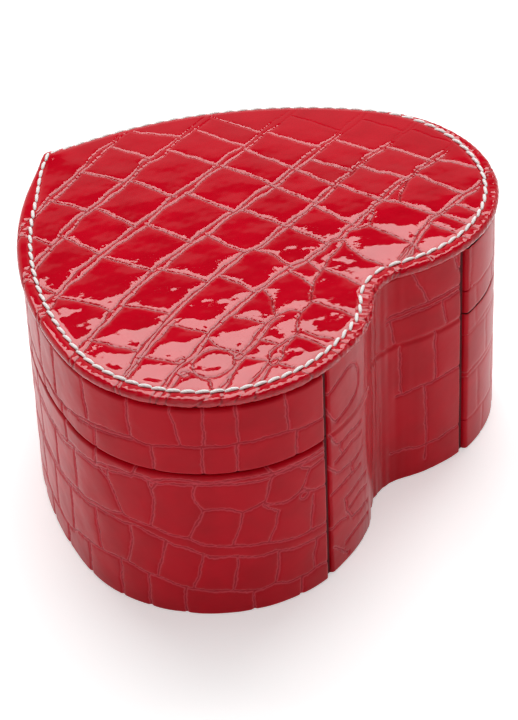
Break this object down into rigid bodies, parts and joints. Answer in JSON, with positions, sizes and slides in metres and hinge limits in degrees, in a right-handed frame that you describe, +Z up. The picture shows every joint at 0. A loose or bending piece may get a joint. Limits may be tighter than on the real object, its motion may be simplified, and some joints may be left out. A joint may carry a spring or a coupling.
{
  "type": "wind up music box",
  "caption": "Heart-shaped leatherette music box with a hinged mirrored lid, a lined tray, and a wind-up pinned-cylinder movement with a key underneath.",
  "frame": {"origin": "floor level under the middle of the closed box's outline", "axes": "+Z up, tip of the heart and lid opening towards -Y, cleft and hinge towards +Y, +X across the lobes"},
  "size_m": [0.14, 0.1163, 0.0689],
  "materials": {
    "croc_leather": "glossy patent crocodile-embossed leatherette, red",
    "box_board": "bare fibreboard",
    "velvet": "cream velvet lining",
    "felt": "black felt",
    "foam": "thin foam padding",
    "mirror_glass": "silvered glass",
    "zinc": "die-cast zinc, satin",
    "steel": "spring steel",
    "plated_steel": "nickel-plated steel",
    "brass": "turned brass",
    "white_plastic": "moulded acetal",
    "brass_key": "polished brass"
  },
  "bodies": {
    "base": {"base_wall": "box_board", "bottom_board": "box_board", "bottom_felt": "felt", "base_side_cover": "croc_leather", "hinge_strip_base": "croc_leather", "base_liner": "velvet", "tray_supports": "box_board", "tray": "velvet", "ring_rolls": "velvet", "bedplate": "zinc", "movement_screws": "plated_steel", "comb_base": "zinc", "comb": "steel", "comb_screws": "plated_steel", "cylinder_bracket": "zinc", "governor_frame": "zinc", "stop_post": "plated_steel", "plunger_guide": "brass"},
    "lid": {"lid_wall": "box_board", "lid_top_board": "box_board", "lid_side_cover": "croc_leather", "hinge_strip_lid": "croc_leather", "lid_top_cover": "croc_leather", "lid_padding": "foam", "lid_liner": "velvet", "mirror": "mirror_glass"},
    "winding": {"winding_key": "brass_key", "winding_arbor": "plated_steel"},
    "barrel": {"spring_barrel": "brass", "barrel_cap": "brass", "mainspring": "steel"},
    "cylinder": {"pinned_cylinder": "brass", "cylinder_arbor": "plated_steel", "drive_pinion": "plated_steel", "cylinder_gear": "brass"},
    "governor_gear": {"governor_wheel": "white_plastic"},
    "governor_fly": {"governor_worm": "plated_steel", "governor_fan": "brass"},
    "stop_arm": {"stop_lever": "steel"},
    "stop_rod": {"stop_plunger": "plated_steel"}
  },
  "joints": [
    {"name": "lid_hinge", "type": "hinge", "parent": "base", "child": "lid", "pos_m": [0, 0.05725, 0.0448], "axis": [-1, 0, 0], "range_deg": [0, 100]},
    {"name": "key_wind", "type": "hinge", "parent": "base", "child": "winding", "pos_m": [-0.017, 0.002, 0.006], "axis": [0, 0, 1], "continuous": true},
    {"name": "cylinder_spin", "type": "hinge", "parent": "base", "child": "cylinder", "pos_m": [-0.017, 0.002, 0.02535], "axis": [1, 0, 0], "continuous": true},
    {"name": "barrel_spin", "type": "hinge", "parent": "base", "child": "barrel", "pos_m": [-0.017, 0.002, 0.025], "axis": [0, 0, 1], "continuous": true},
    {"name": "governor_gear_spin", "type": "hinge", "parent": "base", "child": "governor_gear", "pos_m": [-0.017, 0.0113, 0.02535], "axis": [1, 0, 0], "continuous": true},
    {"name": "governor_fly_spin", "type": "hinge", "parent": "base", "child": "governor_fly", "pos_m": [0.0245, 0.0178, 0.02535], "axis": [0, 0, 1], "continuous": true},
    {"name": "stop_arm_tilt", "type": "hinge", "parent": "base", "child": "stop_arm", "pos_m": [0.0245, 0.026, 0.02906], "axis": [1, 0, 0], "range_deg": [0, 17]},
    {"name": "stop_rod_slide", "type": "slide", "parent": "base", "child": "stop_rod", "axis": [0, 0, 1], "range_m": [0, 0.0027]}
  ],
  "couplings": [
    {"joint": "barrel_spin", "follows": "cylinder_spin", "ratio": 0.3},
    {"joint": "governor_gear_spin", "follows": "cylinder_spin", "ratio": -3.6},
    {"joint": "governor_fly_spin", "follows": "cylinder_spin", "ratio": 86.4},
    {"joint": "stop_arm_tilt", "follows": "lid_hinge", "ratio": 0.17},
    {"joint": "stop_rod_slide", "follows": "lid_hinge", "m_per_rad": 0.001547}
  ]
}
